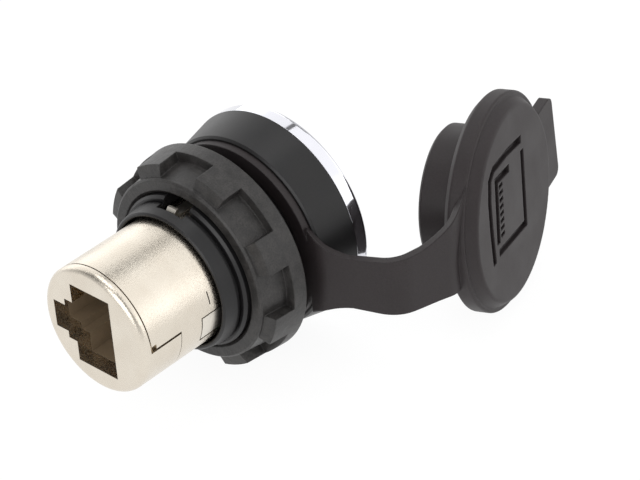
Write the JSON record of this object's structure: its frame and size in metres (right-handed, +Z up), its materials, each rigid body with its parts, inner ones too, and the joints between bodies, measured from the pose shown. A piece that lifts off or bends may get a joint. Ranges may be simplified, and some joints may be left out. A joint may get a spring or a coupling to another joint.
{
  "type": "panel mount ethernet jack",
  "caption": "Panel mount ethernet coupler with a socket at each end, a threaded collar, a ring nut and a sealing cap on a rubber strap.",
  "frame": {"origin": "on the jack's axis in the panel seat plane, where the rubber ring meets the panel", "axes": "+Y to the rear through the panel, +Z up through the key slot, +X to the latch side of the sockets"},
  "size_m": [0.0431, 0.0726, 0.0312],
  "materials": {
    "trim": "polished",
    "housing": "satin",
    "rubber": "matte",
    "nut": "satin",
    "shell": "satin nickel",
    "latch": "satin nickel",
    "insert": "satin",
    "board": "matte",
    "contact": "gold plated"
  },
  "bodies": {
    "root": {"front_trim_ring": "trim", "bezel_housing": "housing", "tethered_cap": "rubber", "panel_nut": "nut", "front_shell": "shell", "rear_shell": "shell", "side_latch_left": "latch", "side_latch_right": "latch", "locking_lug": "latch", "rear_insert": "insert", "front_insert": "insert", "circuit_board": "board", "rear_contact_1": "contact", "rear_contact_2": "contact", "rear_contact_3": "contact", "rear_contact_4": "contact", "rear_contact_5": "contact", "rear_contact_6": "contact", "rear_contact_7": "contact", "rear_contact_8": "contact", "front_contact_1": "contact", "front_contact_2": "contact", "front_contact_3": "contact", "front_contact_4": "contact", "front_contact_5": "contact", "front_contact_6": "contact", "front_contact_7": "contact", "front_contact_8": "contact"}
  },
  "joints": []
}
